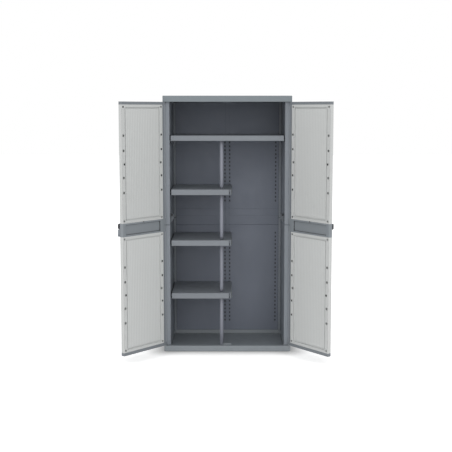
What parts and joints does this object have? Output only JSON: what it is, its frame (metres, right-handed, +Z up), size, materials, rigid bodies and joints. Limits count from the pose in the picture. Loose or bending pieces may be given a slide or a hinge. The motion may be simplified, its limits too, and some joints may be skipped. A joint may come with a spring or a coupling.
{
  "type": "garden storage cabinet",
  "caption": "Tall moulded-plastic utility cabinet with two hinged doors, a full-width top shelf, half-width shelves beside a divider pole and an open bay for long-handled tools.",
  "frame": {"origin": "middle of the underside of the base, on the ground", "axes": "+X to the right as seen from the front, +Y to the back, +Z up"},
  "size_m": [1.4422, 0.8924, 1.8],
  "materials": {
    "grey_plastic": "fine grained, satin",
    "light_panel": "fine grained, satin",
    "pole_grey": "smooth, satin",
    "dark_plastic": "smooth, satin"
  },
  "bodies": {
    "cabinet": {"base_tray": "grey_plastic", "roof_top": "grey_plastic", "left_side_lower": "grey_plastic", "left_side_upper": "grey_plastic", "right_side_lower": "grey_plastic", "right_side_upper": "grey_plastic", "back_lower_left": "grey_plastic", "back_lower_right": "grey_plastic", "back_upper_left": "grey_plastic", "back_upper_right": "grey_plastic", "back_joiner_lower": "grey_plastic", "back_joiner_upper": "grey_plastic", "left_seam_spigots": "grey_plastic", "right_seam_spigots": "grey_plastic", "left_wall_lug": "grey_plastic", "right_wall_lug": "grey_plastic", "left_hinge_ear": "grey_plastic", "right_hinge_ear": "grey_plastic", "full_shelf": "grey_plastic", "half_shelf_low": "grey_plastic", "half_shelf_middle": "grey_plastic", "half_shelf_high": "grey_plastic", "shelf_clips": "grey_plastic", "divider_pole": "pole_grey", "pole_foot": "grey_plastic", "pole_head": "grey_plastic"},
    "left_door": {"left_door_upper_shell": "light_panel", "left_door_upper_liner": "light_panel", "left_door_lower_shell": "light_panel", "left_door_lower_liner": "light_panel", "left_door_top_rail": "grey_plastic", "left_door_bottom_rail": "grey_plastic", "left_door_band": "grey_plastic", "left_middle_hinge_pin": "dark_plastic", "left_lock_lug": "dark_plastic", "left_pull_handle": "grey_plastic"},
    "right_door": {"right_door_upper_shell": "light_panel", "right_door_upper_liner": "light_panel", "right_door_lower_shell": "light_panel", "right_door_lower_liner": "light_panel", "right_door_top_rail": "grey_plastic", "right_door_bottom_rail": "grey_plastic", "right_door_band": "grey_plastic", "right_middle_hinge_pin": "dark_plastic", "right_lock_lug": "dark_plastic"}
  },
  "joints": [
    {"name": "left_door_hinge", "type": "hinge", "parent": "cabinet", "child": "left_door", "pos_m": [-0.438, -0.2585, 0.9035], "axis": [0, 0, -1], "range_deg": [-128.8, 51.2]},
    {"name": "right_door_hinge", "type": "hinge", "parent": "cabinet", "child": "right_door", "pos_m": [0.438, -0.2585, 0.9035], "axis": [0, 0, 1], "range_deg": [-125.8, 54.2]}
  ]
}
